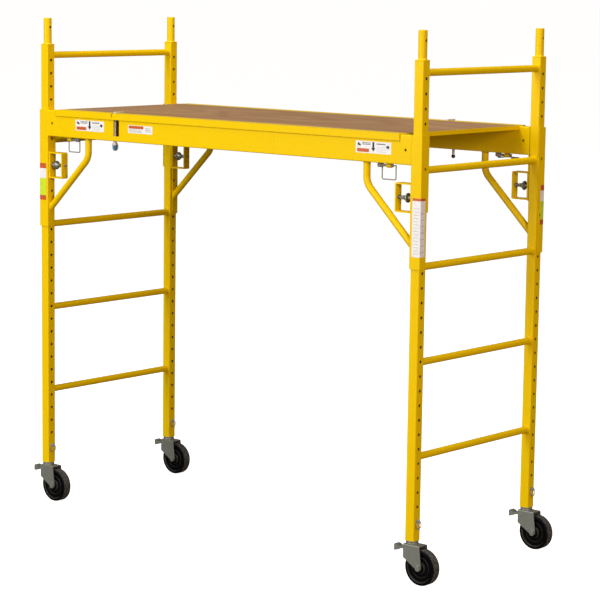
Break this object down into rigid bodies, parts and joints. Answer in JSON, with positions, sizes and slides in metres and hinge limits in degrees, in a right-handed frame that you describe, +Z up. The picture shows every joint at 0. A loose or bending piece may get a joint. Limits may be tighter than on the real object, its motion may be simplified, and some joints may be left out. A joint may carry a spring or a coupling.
{
  "type": "baker scaffold",
  "caption": "Rolling baker scaffold: two ladder end frames on locking casters carry a height-adjustable plywood platform on pinned sleeves.",
  "frame": {"origin": "on the floor, at the middle of the footprint (the casters trail to +X and the brake pedals point to -X)", "axes": "+X along the platform, +Y from the front rail to the back rail, +Z up"},
  "size_m": [2.0114, 0.7741, 1.908],
  "materials": {
    "yellow_paint": "powder-coated yellow, satin gloss",
    "zinc_steel": "zinc plated",
    "black_wheel": "moulded, near black",
    "plywood": "bare plywood",
    "blue_vinyl": "dipped vinyl",
    "black_vinyl": "dipped vinyl",
    "label_film": null
  },
  "bodies": {
    "frame": {"leg_left_front": "yellow_paint", "leg_left_back": "yellow_paint", "leg_right_front": "yellow_paint", "leg_right_back": "yellow_paint", "rungs_left": "yellow_paint", "rungs_right": "yellow_paint", "coupling_stubs": "yellow_paint", "caster_stems": "zinc_steel", "caster_lock_pins": "zinc_steel"},
    "platform": {"side_rail_front": "yellow_paint", "side_rail_back": "yellow_paint", "sleeve_left_front": "yellow_paint", "sleeve_left_back": "yellow_paint", "sleeve_right_front": "yellow_paint", "sleeve_right_back": "yellow_paint", "braces_front": "yellow_paint", "braces_back": "yellow_paint", "pin_brackets": "yellow_paint", "pin_springs": "zinc_steel", "store_tubes": "yellow_paint", "snapper_pins": "zinc_steel", "platform_board": "plywood", "platform_edge": "yellow_paint", "platform_joists": "yellow_paint", "platform_screws": "zinc_steel", "labels": "label_film"},
    "latch_front": {"latch_rod_front": "zinc_steel", "latch_grip_front": "blue_vinyl", "latch_disc_front": "zinc_steel"},
    "latch_back": {"latch_rod_back": "zinc_steel", "latch_grip_back": "black_vinyl"},
    "spring_pin_left_front": {"spring_pin_left_front": "zinc_steel"},
    "bail_left_front": {"bail_left_front": "zinc_steel"},
    "lock_pin_ring_left_front": {"lock_pin_ring_left_front": "zinc_steel"},
    "fork_left_front": {"fork_left_front": "zinc_steel", "axle_left_front": "zinc_steel"},
    "wheel_left_front": {"wheel_left_front": "black_wheel"},
    "brake_pedal_left_front": {"brake_pedal_left_front": "zinc_steel"},
    "spring_pin_left_back": {"spring_pin_left_back": "zinc_steel"},
    "bail_left_back": {"bail_left_back": "zinc_steel"},
    "lock_pin_ring_left_back": {"lock_pin_ring_left_back": "zinc_steel"},
    "fork_left_back": {"fork_left_back": "zinc_steel", "axle_left_back": "zinc_steel"},
    "wheel_left_back": {"wheel_left_back": "black_wheel"},
    "brake_pedal_left_back": {"brake_pedal_left_back": "zinc_steel"},
    "spring_pin_right_front": {"spring_pin_right_front": "zinc_steel"},
    "bail_right_front": {"bail_right_front": "zinc_steel"},
    "lock_pin_ring_right_front": {"lock_pin_ring_right_front": "zinc_steel"},
    "fork_right_front": {"fork_right_front": "zinc_steel", "axle_right_front": "zinc_steel"},
    "wheel_right_front": {"wheel_right_front": "black_wheel"},
    "brake_pedal_right_front": {"brake_pedal_right_front": "zinc_steel"},
    "spring_pin_right_back": {"spring_pin_right_back": "zinc_steel"},
    "bail_right_back": {"bail_right_back": "zinc_steel"},
    "lock_pin_ring_right_back": {"lock_pin_ring_right_back": "zinc_steel"},
    "fork_right_back": {"fork_right_back": "zinc_steel", "axle_right_back": "zinc_steel"},
    "wheel_right_back": {"wheel_right_back": "black_wheel"},
    "brake_pedal_right_back": {"brake_pedal_right_back": "zinc_steel"}
  },
  "joints": [
    {"name": "platform_height", "type": "slide", "parent": "frame", "child": "platform", "axis": [0, 0, 1], "range_m": [-0.7112, 0.2032]},
    {"name": "pin_pull_left_front", "type": "slide", "parent": "platform", "child": "spring_pin_left_front", "axis": [1, 0, 0], "range_m": [0, 0.016], "stiffness_N_per_m": 800, "springref_m": -0.015, "deforming": ["pin_springs"]},
    {"name": "pin_pull_left_back", "type": "slide", "parent": "platform", "child": "spring_pin_left_back", "axis": [1, 0, 0], "range_m": [0, 0.016], "stiffness_N_per_m": 800, "springref_m": -0.015, "deforming": ["pin_springs"]},
    {"name": "pin_pull_right_front", "type": "slide", "parent": "platform", "child": "spring_pin_right_front", "axis": [-1, 0, 0], "range_m": [0, 0.016], "stiffness_N_per_m": 800, "springref_m": -0.015, "deforming": ["pin_springs"]},
    {"name": "pin_pull_right_back", "type": "slide", "parent": "platform", "child": "spring_pin_right_back", "axis": [-1, 0, 0], "range_m": [0, 0.016], "stiffness_N_per_m": 800, "springref_m": -0.015, "deforming": ["pin_springs"]},
    {"name": "bail_swing_left_front", "type": "hinge", "parent": "platform", "child": "bail_left_front", "pos_m": [-0.76575, -0.34695, 1.4437], "axis": [0, -1, 0], "range_deg": [0, 50]},
    {"name": "bail_swing_left_back", "type": "hinge", "parent": "platform", "child": "bail_left_back", "pos_m": [-0.76575, 0.34695, 1.4437], "axis": [0, -1, 0], "range_deg": [0, 50]},
    {"name": "bail_swing_right_front", "type": "hinge", "parent": "platform", "child": "bail_right_front", "pos_m": [0.72625, -0.34695, 1.4437], "axis": [0, 1, 0], "range_deg": [0, 50]},
    {"name": "bail_swing_right_back", "type": "hinge", "parent": "platform", "child": "bail_right_back", "pos_m": [0.72625, 0.34695, 1.4437], "axis": [0, 0, 1], "range_deg": [0, 50]},
    {"name": "latch_turn_front", "type": "hinge", "parent": "platform", "child": "latch_front", "pos_m": [-0.55275, -0.3575, 1.5], "axis": [0, 0, 1], "range_deg": [0, 180]},
    {"name": "latch_turn_back", "type": "hinge", "parent": "platform", "child": "latch_back", "pos_m": [0.51325, 0.3575, 1.5], "axis": [0, 0, 1], "range_deg": [0, 180]},
    {"name": "ring_swing_left_front", "type": "hinge", "parent": "frame", "child": "lock_pin_ring_left_front", "pos_m": [-0.90875, -0.345, 0.221], "axis": [0, -1, 0], "range_deg": [-10, 90]},
    {"name": "caster_swivel_left_front", "type": "hinge", "parent": "frame", "child": "fork_left_front", "pos_m": [-0.93575, -0.345, 0.1385], "axis": [0, 0, 1], "continuous": true},
    {"name": "wheel_roll_left_front", "type": "hinge", "parent": "fork_left_front", "child": "wheel_left_front", "pos_m": [-0.88975, -0.345, 0.0635], "axis": [0, 1, 0], "continuous": true},
    {"name": "brake_press_left_front", "type": "hinge", "parent": "fork_left_front", "child": "brake_pedal_left_front", "pos_m": [-0.94775, -0.345, 0.127], "axis": [0, -1, 0], "range_deg": [0, 6]},
    {"name": "ring_swing_left_back", "type": "hinge", "parent": "frame", "child": "lock_pin_ring_left_back", "pos_m": [-0.90875, 0.345, 0.221], "axis": [0, -1, 0], "range_deg": [-10, 90]},
    {"name": "caster_swivel_left_back", "type": "hinge", "parent": "frame", "child": "fork_left_back", "pos_m": [-0.93575, 0.345, 0.1385], "axis": [0, 0, 1], "continuous": true},
    {"name": "wheel_roll_left_back", "type": "hinge", "parent": "fork_left_back", "child": "wheel_left_back", "pos_m": [-0.88975, 0.345, 0.0635], "axis": [0, 1, 0], "continuous": true},
    {"name": "brake_press_left_back", "type": "hinge", "parent": "fork_left_back", "child": "brake_pedal_left_back", "pos_m": [-0.94775, 0.345, 0.127], "axis": [0, -1, 0], "range_deg": [0, 6]},
    {"name": "ring_swing_right_front", "type": "hinge", "parent": "frame", "child": "lock_pin_ring_right_front", "pos_m": [0.92325, -0.345, 0.221], "axis": [0, -1, 0], "range_deg": [-10, 90]},
    {"name": "caster_swivel_right_front", "type": "hinge", "parent": "frame", "child": "fork_right_front", "pos_m": [0.89625, -0.345, 0.1385], "axis": [0, 0, 1], "continuous": true},
    {"name": "wheel_roll_right_front", "type": "hinge", "parent": "fork_right_front", "child": "wheel_right_front", "pos_m": [0.94225, -0.345, 0.0635], "axis": [0, 1, 0], "continuous": true},
    {"name": "brake_press_right_front", "type": "hinge", "parent": "fork_right_front", "child": "brake_pedal_right_front", "pos_m": [0.88425, -0.345, 0.127], "axis": [0, -1, 0], "range_deg": [0, 6]},
    {"name": "ring_swing_right_back", "type": "hinge", "parent": "frame", "child": "lock_pin_ring_right_back", "pos_m": [0.92325, 0.345, 0.221], "axis": [0, -1, 0], "range_deg": [-10, 90]},
    {"name": "caster_swivel_right_back", "type": "hinge", "parent": "frame", "child": "fork_right_back", "pos_m": [0.89625, 0.345, 0.1385], "axis": [0, 0, 1], "continuous": true},
    {"name": "wheel_roll_right_back", "type": "hinge", "parent": "fork_right_back", "child": "wheel_right_back", "pos_m": [0.94225, 0.345, 0.0635], "axis": [0, 1, 0], "continuous": true},
    {"name": "brake_press_right_back", "type": "hinge", "parent": "fork_right_back", "child": "brake_pedal_right_back", "pos_m": [0.88425, 0.345, 0.127], "axis": [0, -1, 0], "range_deg": [0, 6]}
  ]
}
